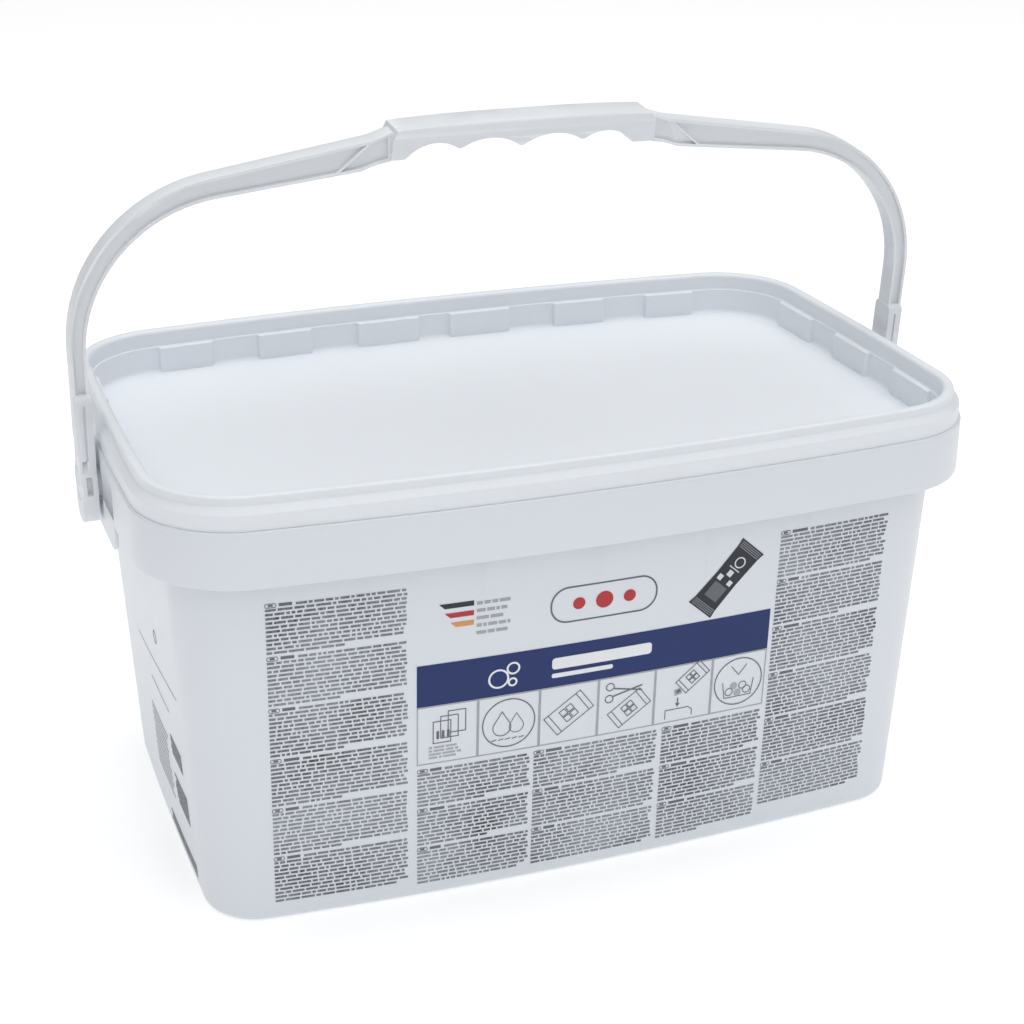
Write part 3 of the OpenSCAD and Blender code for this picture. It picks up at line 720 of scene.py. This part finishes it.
def onFront(s, z, lift):
    return (s, -longReach(s, wallInset(z) - lift), z)


def onLeft(s, z, lift):
    return (-shortReach(s, wallInset(z) - lift), s, z)


def bar(x0, z0, x1, z1):
    steps = max(1, math.ceil(abs(x1 - x0) / film["longestStep"]))
    xs = [x0 + (x1 - x0) * i / steps for i in range(steps + 1)]
    return [[(a, z0), (b, z0), (b, z1), (a, z1)] for a, b in zip(xs, xs[1:])]


def disc(x, z, r, steps=28):
    return [arcPoints(x, z, r, 0, 2 * math.pi, steps)[:-1]]


def stroke(points, width, closed=False):
    # mitred line through points
    count = len(points)
    offsets = []
    for i, p in enumerate(points):
        here = Vector(p)
        before = Vector(points[i - 1]) if closed or i else None
        after = Vector(points[(i + 1) % count]) if closed or i < count - 1 else None
        ways = [way.normalized() for way in (before and here - before, after and after - here) if way]
        normals = [Vector((-w.y, w.x)) for w in ways]
        mitre = sum(normals, Vector((0, 0))).normalized()
        mitre = mitre * (width / 2 / max(film["sharpestMitre"], mitre.dot(normals[0])))
        offsets.append((tuple(here + mitre), tuple(here - mitre)))
    pairs = list(zip(offsets, offsets[1:])) + ([(offsets[-1], offsets[0])] if closed else [])
    return [[a[0], a[1], b[1], b[0]] for a, b in pairs]


def ring(x, z, r, width, steps=36):
    return stroke(arcPoints(x, z, r, 0, 2 * math.pi, steps)[:-1], width, True)


def roundBar(x0, z0, x1, z1, radius, steps=6):
    q = math.pi / 2
    left = arcPoints(x0 + radius, z1 - radius, radius, q, 2 * q, steps)
    left += arcPoints(x0 + radius, z0 + radius, radius, 2 * q, 3 * q, steps)
    right = [(x0 + x1 - x, z) for x, z in reversed(left)]
    return [left] + bar(x0 + radius, z0, x1 - radius, z1) + [right]


def boxLine(x0, z0, x1, z1, width, radius=0, steps=6):
    if radius == 0:
        return stroke([(x0, z0), (x1, z0), (x1, z1), (x0, z1)], width, True)
    return stroke(roundBox(x0, z0, x1, z1, radius, steps), width, True)


def roundBox(x0, z0, x1, z1, radius, steps=6):
    q = math.pi / 2
    left, right, low, high = x0 + radius, x1 - radius, z0 + radius, z1 - radius
    points = []
    for k, (x, z) in enumerate([(right, low), (right, high), (left, high), (left, low)]):
        points += arcPoints(x, z, radius, (k - 1) * q, k * q, steps)
    return points


def turned(shapes, x, z, degrees, scale=1):
    c, s = math.cos(math.radians(degrees)) * scale, math.sin(math.radians(degrees)) * scale
    return [[(x + a * c - b * s, z + a * s + b * c) for a, b in shape] for shape in shapes]


def printed(name, shapes, wall, surface, slot, replaced=(), layer=0):
    points, faces = [], []
    low = film["lift"] + layer * film["thickness"]
    for shape in shapes:
        start, count = len(points), len(shape)
        points += [wall(a, b, low) for a, b in shape]
        points += [wall(a, b, low + film["thickness"]) for a, b in shape]
        faces.append([start + i for i in range(count)])
        faces.append([start + count + i for i in reversed(range(count))])
        for i in range(count):
            j = (i + 1) % count
            faces.append([start + i, start + j, start + count + j, start + count + i])
    piece = newPiece(name, points, faces)
    return finishPiece(piece, "tub_body", surface, replaced)


# Small print: columns of paragraphs, each line a row of word blocks

smallPrint = {
    # left, right, low and high edge, number of paragraphs
    "columns": [(-146, -85.5, 8.5, 160.5, 6), (90, 147, 12.5, 160, 6),
                (-81.3, -28.5, 6, 68.5, 3), (-27, 33.5, 6, 68.5, 3), (36, 87.5, 6, 68.5, 3)],
    "linePitch": 2.02, "letterHeight": 1.08, "wordGap": 0.75, "words": (1.2, 6.5), "ragged": 0.9,
    "lastLine": (0.35, 0.95), "paragraphGap": 0.9, "boldHeight": 1.4, "boldWords": (5, 8.5), "boldGap": 1.6,
    "tag": (0, -0.3, 4.6, 1.5), "tagRadius": 0.7, "tagLine": 0.28, "tagBar": (1.2, 0.2, 3.3, 1.1),
    "tagGap": 1.2,
}


def wordRow(x, end, z, height, shapes):
    shortest, longest = smallPrint["words"]
    while x < end - shortest:
        length = min(random.uniform(shortest, longest), end - x)
        shapes += bar(x, z, x + length, z + height)
        x += length + smallPrint["wordGap"]


def moved(box, x, z):
    return box[0] + x, box[1] + z, box[2] + x, box[3] + z


def smallPrintShapes():
    d = smallPrint
    words, bold, tags = [], [], []
    for left, right, low, high, count in d["columns"]:
        block = (high - low) / count
        for k in range(count):
            top = high - k * block
            lines = round((block - d["paragraphGap"]) / d["linePitch"])
            pitch = (block - d["paragraphGap"]) / lines
            for n in range(lines):
                z = top - (n + 1) * pitch + (pitch - d["letterHeight"]) / 2
                end = right - random.uniform(0, d["ragged"])
                start = left
                if n == 0:
                    tags += boxLine(*moved(d["tag"], left, z), d["tagLine"], d["tagRadius"], 3)
                    tags += bar(*moved(d["tagBar"], left, z))
                    start = left + d["tag"][2] + d["tagGap"]
                    length = random.uniform(*d["boldWords"])
                    bold += bar(start, z, start + length, z + d["boldHeight"])
                    start += length + d["boldGap"]
                if n == lines - 1:
                    end = left + (right - left) * random.uniform(*d["lastLine"])
                wordRow(start, end, z, d["letterHeight"], words)
    return words, bold, tags


wordShapes, boldShapes, tagShapes = smallPrintShapes()
printed("smallPrint", wordShapes, onFront, "text", "print_grey", ["front_text"])
printed("boldPrint", boldShapes, onFront, "line", "print_grey")
printed("tagPrint", tagShapes, onFront, "line", "print_grey")
print("small print set, words:", len(wordShapes))

# Coloured band with plain marks

band = {
    "left": -81.6, "right": 87.8, "low": 100.6, "high": 121.3,
    "bubbles": [(-44.5, 109.2, 4.4), (-37.8, 113.6, 2.7), (-38.0, 106.7, 1.8)], "bubbleLine": 0.9,
    "wording": [(-19.7, 109.5, 28.2, 115.2, 1.6), (-19.7, 105.2, 9.5, 107.4, 0.9)],
}


def buildBand():
    d = band
    printed("bandFilm", bar(d["left"], d["low"], d["right"], d["high"]), onFront, "navy", "print_navy",
            ["front_band"])
    marks = []
    for x, z, r in d["bubbles"]:
        marks += ring(x, z, r, d["bubbleLine"])
    for x0, z0, x1, z1, r in d["wording"]:
        marks += roundBar(x0, z0, x1, z1, r)
    printed("bandMarks", marks, onFront, "white", "print_navy", layer=1)


buildBand()
print("band set")

# Row of pictures: plain drawings of how the packs are used

pictures = {
    "low": 71, "high": 100.6, "edges": [-81.6, -53.7, -24.9, 3.2, 31.1, 59.9, 87.8],
    "frameLine": 0.55, "frameGap": 0.3, "frameTop": 0.5, "line": 0.42, "heavy": 0.7, "stem": 0.6,
    "circleRadius": 12.2, "circleLine": 0.546,
    # boxes are left, low, right, high from the middle of their picture
    "leaflet": (-6.5, -4.6, 1.5, 6.4), "leafletStep": (3.4, 2.3), "leaflets": 3,
    "leafletBar": (-5, -2.6, -3.8, 1.5), "barStep": 2.4,
    "caption": (-8.5, -7.2), "captionEnd": (2, 8), "captionPitch": 1.75, "captionHeight": 0.9,
    "captionLines": 4,
    "drops": [(-3.2, 1.0), (3.6, 0.8)], "dropSink": 2, "dropRadius": 4.2, "dropTip": 8.2,
    "dropArc": (150, 390), "ripple": [(-8, -8.4), (-5.6, -7.9)], "rippleStep": 3.2, "ripples": 5,
    # sachets are picture, place, width and height, turn in degrees
    "wholeSachet": (2, (0, 0), (21, 11.5), 36), "cutSachet": (3, (1.5, -3.2), (19, 10), 36),
    "openSachet": (4, (4.5, 7.2), (15, 8.5), 40), "crimp": 0.12, "cell": 0.52, "cellPitch": 0.62,
    "scissorRings": [(-8.3, 9.6), (-8.6, 3.4)], "scissorRadius": 1.9, "scissorLine": 0.504,
    "blades": [[(-6.8, 8.6), (7.5, 5.4)], [(-6.9, 4.4), (7.5, 8.0)]],
    "tablet": ((-2.6, 0.6), (1.8, 1.6), 12), "tabletTop": ((-2.4, 0.9), (1.1, 0.9), 30),
    "arrowStem": [(-2.5, -2.6), (-2.5, -6)], "arrowHead": [(-3.7, -5.4), (-1.3, -5.4), (-2.5, -7.4)],
    "machine": [(-8.5, -13), (-8.5, -8.4), (3, -8.4), (5, -10), (5, -13)],
    "heap": [(-4.5, -5), (0, -6), (4.6, -5), (-2.2, -2.2), (2.4, -2.4)], "heapRadius": 1.9,
    "bowl": [(-8, 0.5), (-6.8, -8), (6.8, -8), (8, 0.5)], "chevron": [(-4, 8.5), (0, 3.5), (4, 8.5)],
}
middles = [(a + b) / 2 for a, b in zip(pictures["edges"], pictures["edges"][1:])]
pictureHeight = (pictures["low"] + pictures["high"]) / 2


def inPicture(number, points):
    return [(middles[number] + x, pictureHeight + z) for x, z in points]


def lineInPicture(number, points, width=pictures["line"]):
    return stroke(inPicture(number, points), width)


def centredBar(number, place, half, degrees):
    (x, z), (a, b) = place, half
    return turned(bar(-a, -b, a, b), middles[number] + x, pictureHeight + z, degrees)


def sachet(number, place, size, degrees):
    # a pack with crimped ends and four tablets
    d = pictures
    half, tall = size[0] / 2, size[1] / 2
    seam = half - size[0] * d["crimp"]
    shapes = boxLine(-half, -tall, half, tall, d["line"])
    shapes += stroke([(-seam, -tall), (-seam, tall)], d["line"])
    shapes += stroke([(seam, -tall), (seam, tall)], d["line"])
    cell = tall * d["cell"]
    for a in (-1, 1):
        for b in (-1, 1):
            x, z = a * cell * d["cellPitch"], b * cell * d["cellPitch"]
            shapes += boxLine(x - cell / 2, z - cell / 2, x + cell / 2, z + cell / 2, d["line"])
    return turned(shapes, middles[number] + place[0], pictureHeight + place[1], degrees)


def leafletPicture(lines, shades):
    d = pictures
    x, z = middles[0], pictureHeight
    for k in range(d["leaflets"]):
        lines += boxLine(*moved(d["leaflet"], x + d["leafletStep"][0] * k, z + d["leafletStep"][1] * k),
                         d["line"])
    for k in range(d["leaflets"]):
        lines += bar(*moved(d["leafletBar"], x + d["barStep"] * k, z))
    left, top = d["caption"]
    for k in range(d["captionLines"]):
        wordRow(x + left, x + random.uniform(*d["captionEnd"]), z + top - d["captionPitch"] * k,
                d["captionHeight"], shades)


def dropPicture(lines):
    d = pictures
    lines += ring(middles[1], pictureHeight, d["circleRadius"], d["circleLine"], 48)
    start, end = (math.radians(angle) for angle in d["dropArc"])
    drop = arcPoints(0, 0, d["dropRadius"], start, end, 18) + [(0, d["dropTip"])]
    edge = stroke(drop, d["line"], True)
    for x, size in d["drops"]:
        lines += turned(edge, middles[1] + x, pictureHeight - d["dropSink"], 0, size)
    for k in range(d["ripples"]):
        lines += lineInPicture(1, [(x + k * d["rippleStep"], z) for x, z in d["ripple"]])


def scissorPicture(lines):
    d = pictures
    lines += sachet(*d["cutSachet"])
    for x, z in inPicture(3, d["scissorRings"]):
        lines += ring(x, z, d["scissorRadius"], d["scissorLine"], 20)
    for blade in d["blades"]:
        lines += lineInPicture(3, blade, d["heavy"])


def pouringPicture(lines, shades):
    d = pictures
    lines += sachet(*d["openSachet"])
    shades += centredBar(4, *d["tablet"])
    lines += centredBar(4, *d["tabletTop"])
    lines += lineInPicture(4, d["arrowStem"], d["stem"])
    lines.append(inPicture(4, d["arrowHead"]))
    lines += lineInPicture(4, d["machine"])


def bowlPicture(lines, shades):
    d = pictures
    lines += ring(middles[5], pictureHeight, d["circleRadius"], d["circleLine"], 48)
    for k, (x, z) in enumerate(inPicture(5, d["heap"])):
        if k % 2:
            shades += disc(x, z, d["heapRadius"], 18)
        else:
            lines += ring(x, z, d["heapRadius"], d["line"], 18)
    lines += lineInPicture(5, d["bowl"]) + lineInPicture(5, d["chevron"])


def buildPictures():
    d = pictures
    frames, lines, shades = [], [], []
    for a, b in zip(d["edges"], d["edges"][1:]):
        frames += boxLine(a + d["frameGap"], d["low"], b - d["frameGap"], d["high"] - d["frameTop"],
                          d["frameLine"])
    leafletPicture(lines, shades)
    dropPicture(lines)
    lines += sachet(*d["wholeSachet"])
    scissorPicture(lines)
    pouringPicture(lines, shades)
    bowlPicture(lines, shades)
    printed("pictureFrames", frames, onFront, "shade", "print_grey", ["front_pictures"])
    printed("pictureLines", lines, onFront, "line", "print_grey")
    printed("pictureShades", shades, onFront, "shade", "print_grey")


buildPictures()
print("pictures set")

# Marks above the band: a plate with three dots, three leaning bars, and the drawing of a pack

marks = {
    "plate": (-21, 132.5, 29, 149.5), "plateLine": 0.8, "plateStraight": 0.5,
    "dots": [(-8, 2.9), (4, 4.1), (16, 2.9)],
    "bars": [(-71.8, 147.6, 15.5), (-69.3, 142.9, 13), (-66.8, 138.2, 10.5)],
    "barHeight": 2.4, "barSlant": 2.5,
    "notes": (-55, 151.2, -38.5, 5), "notePitch": 3.6, "noteHeight": 1.5, "noteRagged": 5,
}


def buildMarks():
    d = marks
    x0, z0, x1, z1 = d["plate"]
    plate = boxLine(x0, z0, x1, z1, d["plateLine"], (z1 - z0) / 2 - d["plateStraight"], 12)
    printed("plateLine", plate, onFront, "line", "print_dark")
    dots = []
    for x, r in d["dots"]:
        dots += disc(x, (z0 + z1) / 2, r)
    printed("plateDots", dots, onFront, "red", "print_dark")
    for (x, z, length), ink in zip(d["bars"], ("dark", "red", "ochre")):
        top = z + d["barHeight"]
        shape = [(x + d["barSlant"], z), (x + length, z), (x + length, top), (x, top)]
        printed("leaningBar." + ink, [shape], onFront, ink, "print_dark")
    notes = []
    left, top, right, count = d["notes"]
    for k in range(count):
        wordRow(left, right - random.uniform(0, d["noteRagged"]), top - (k + 1) * d["notePitch"],
                d["noteHeight"], notes)
    printed("notePrint", notes, onFront, "shade", "print_grey")


pack = {
    "place": (63.5, 141.3), "size": (37.5, 14.5), "turn": 48,
    "flare": 0.4, "crimp": 4, "crimpDip": 0.3, "waist": 0.8,
    "seams": 4, "seamStart": 1.0, "seamPitch": 0.9, "seamWidth": 0.24, "seamMargin": 0.8,
    "window": (7, 3.2, 15, 3.4),          # left, low, right and top, from the left end and the long edges
    "ring": (9.5, -0.2, 2.5, 0.6),        # from the right end, height, radius, line
    "bars": [(1.2, -1.2, 4.2, 1.6), (-2.6, 2.0, 0.2, 4.6), (-2.4, -4.4, 0.2, -2.0), (5.2, -3.2, 5.7, 3.2)],
}


def buildPack():
    d = pack
    long, wide = d["size"][0] / 2, d["size"][1] / 2

    def drawn(name, shapes, surface, **rest):
        printed(name, turned(shapes, *d["place"], d["turn"]), onFront, surface, "print_dark", **rest)

    edge = [(-long, d["flare"]), (d["crimp"] - long, -d["crimpDip"]), (0, -d["waist"]),
            (long - d["crimp"], -d["crimpDip"]), (long, d["flare"])]
    body = [(x, -wide - out) for x, out in edge] + [(x, wide + out) for x, out in reversed(edge)]
    drawn("packBody", [body], "dark", replaced=["front_pouch"])
    half, tall = d["seamWidth"] / 2, wide - d["seamMargin"]
    seams = []
    for end in (-1, 1):
        for k in range(d["seams"]):
            x = end * (long - d["seamStart"] - d["seamPitch"] * k)
            seams += bar(x - half, -tall, x + half, tall)
    drawn("packSeams", seams, "shade", layer=1)
    left, low, right, top = d["window"]
    drawn("packWindow", bar(left - long, low - wide, right - long, wide - top), "line", layer=1)
    back, z, radius, line = d["ring"]
    pale = ring(long - back, z, radius, line, 24)
    for box in d["bars"]:
        pale += bar(*box)
    drawn("packMarks", pale, "pale", layer=1)


buildMarks()
buildPack()
print("marks and pack drawing set")

# Print on the left short side

sidePrint = {
    "ring": (-28, 114, 3), "ringLine": 0.6,
    "thinLines": [((25.8, 92.1), (-65.7, 100.6)), ((-1, 81), (-41, 82))], "thinLine": 0.5, "lineSteps": 10,
    "rows": (-27.8, 12.8, 60.5, 28, 11), "rowHeight": 1.2, "rowRagged": 6,
    "blocks": [(-58, 58, -34, 71), (-60, 32, -34, 49)], "blockPitch": 2.2, "blockRagged": 3,
    "foot": (-63, 6.5, -8, 3), "footPitch": 2.3, "darkHeight": 1.4,
}


def buildSidePrint():
    d = sidePrint
    shapes = []
    steps = d["lineSteps"]
    for (y0, z0), (y1, z1) in d["thinLines"]:
        points = [(y0 + (y1 - y0) * i / steps, z0 + (z1 - z0) * i / steps) for i in range(steps + 1)]
        shapes += stroke(points, d["thinLine"])
    left, right, top, low, count = d["rows"]
    for k in range(count):
        z = top - (top - low) * k / (count - 1)
        wordRow(left + random.uniform(0, d["rowRagged"]), right, z, d["rowHeight"], shapes)
    printed("sideLines", shapes, onLeft, "shade", "print_grey", ["side_print"])
    dark = []
    for y0, z0, y1, z1 in d["blocks"]:
        for k in range(int((z1 - z0) / d["blockPitch"])):
            wordRow(y0, y1 - random.uniform(0, d["blockRagged"]), z0 + k * d["blockPitch"], d["darkHeight"],
                    dark)
    y0, z0, y1, count = d["foot"]
    for k in range(count):
        wordRow(y0, y1, z0 + k * d["footPitch"], d["darkHeight"], dark)
    dark += ring(*d["ring"], d["ringLine"], 24)
    printed("sideWords", dark, onLeft, "line", "print_grey")


buildSidePrint()
print("side print set")

# Floor, light and camera

stage = {   # floorSize and the lights' sizes and places are metres
    "floorSize": 16, "floorDrop": 0.05, "floorColor": (0.80, 0.80, 0.80), "floorRoughness": 0.9,
    "floorGlow": 0.40, "zenith": 1.02, "horizon": 0.10, "fadeStart": 0.2,   # brightness of the surroundings
    "lights": [   # name, place, aim, size, watts
        ("topSoftbox", (0.2, -0.1, 2.4), (0, 0, 0.2), 2.4, 21),
        ("frontSoftbox", (-0.5, -2.6, 2.0), (0, 0, 0.2), 1.6, 11),
    ],
}


def buildFloor():
    size = stage["floorSize"] / mm / 2
    low = -stage["floorDrop"]
    corners = [(-size, -size, low), (size, -size, low), (size, size, low), (-size, size, low)]
    floor = newPiece("floor", corners, [[0, 1, 2, 3]])
    surface, tree, shader = startMaterial("floorPaper")
    setInputs(shader, {"Base Color": (*stage["floorColor"], 1), "Roughness": stage["floorRoughness"],
                       "Emission Color": (1, 1, 1, 1), "Emission Strength": stage["floorGlow"]})
    floor.data.materials.append(surface)


def aimed(thing, place, target):
    thing.location = place
    way = Vector(target) - Vector(place)
    thing.rotation_euler = way.to_track_quat("-Z", "Y").to_euler()


def buildLights():
    world = bpy.data.worlds.new("studio")
    bpy.context.scene.world = world
    world.use_nodes = True
    tree = world.node_tree
    where = addNode(tree, "ShaderNodeTexCoord", (-800, 0))
    split = addNode(tree, "ShaderNodeSeparateXYZ", (-600, 0))
    fade = addNode(tree, "ShaderNodeMapRange", (-400, 0), {
        "From Min": stage["fadeStart"], "To Min": stage["horizon"], "To Max": stage["zenith"]})
    tree.links.new(where.outputs["Generated"], split.inputs[0])
    tree.links.new(split.outputs["Z"], fade.inputs["Value"])
    sky = tree.nodes["Background"]
    tree.links.new(fade.outputs[0], sky.inputs["Strength"])
    setInputs(sky, {"Color": (1, 1, 1, 1)})
    for name, place, target, size, watts in stage["lights"]:
        data = bpy.data.lights.new(name, "AREA")
        data.size = size
        data.energy = watts
        lamp = bpy.data.objects.new(name, data)
        bpy.context.scene.collection.objects.link(lamp)
        aimed(lamp, place, target)


camera = {
    "place": (-304.2, -829.0, 515.5), "turn": -20.26, "tilt": 23.14, "roll": 0.26,   # angles in degrees
    "lens": 69.39, "sensor": 36,
}


def buildCamera():
    data = bpy.data.cameras.new("view")
    data.lens = camera["lens"]
    data.sensor_width = camera["sensor"]
    view = bpy.data.objects.new("view", data)
    bpy.context.scene.collection.objects.link(view)
    turn, tilt = math.radians(camera["turn"]), math.radians(camera["tilt"])
    back = Vector((math.sin(turn) * math.cos(tilt), -math.cos(turn) * math.cos(tilt), math.sin(tilt)))
    right = Vector((0, 0, 1)).cross(back).normalized()
    up = back.cross(right)
    c, s = math.cos(math.radians(camera["roll"])), math.sin(math.radians(camera["roll"]))
    turnedRight, turnedUp = c * right + s * up, c * up - s * right
    pose = Matrix((turnedRight, turnedUp, back)).transposed().to_4x4()
    pose.translation = Vector(camera["place"]) * mm
    view.matrix_world = pose
    bpy.context.scene.camera = view


buildFloor()
buildLights()
buildCamera()
bpy.context.scene.view_settings.view_transform = "Standard"
print("floor, lights and camera set")
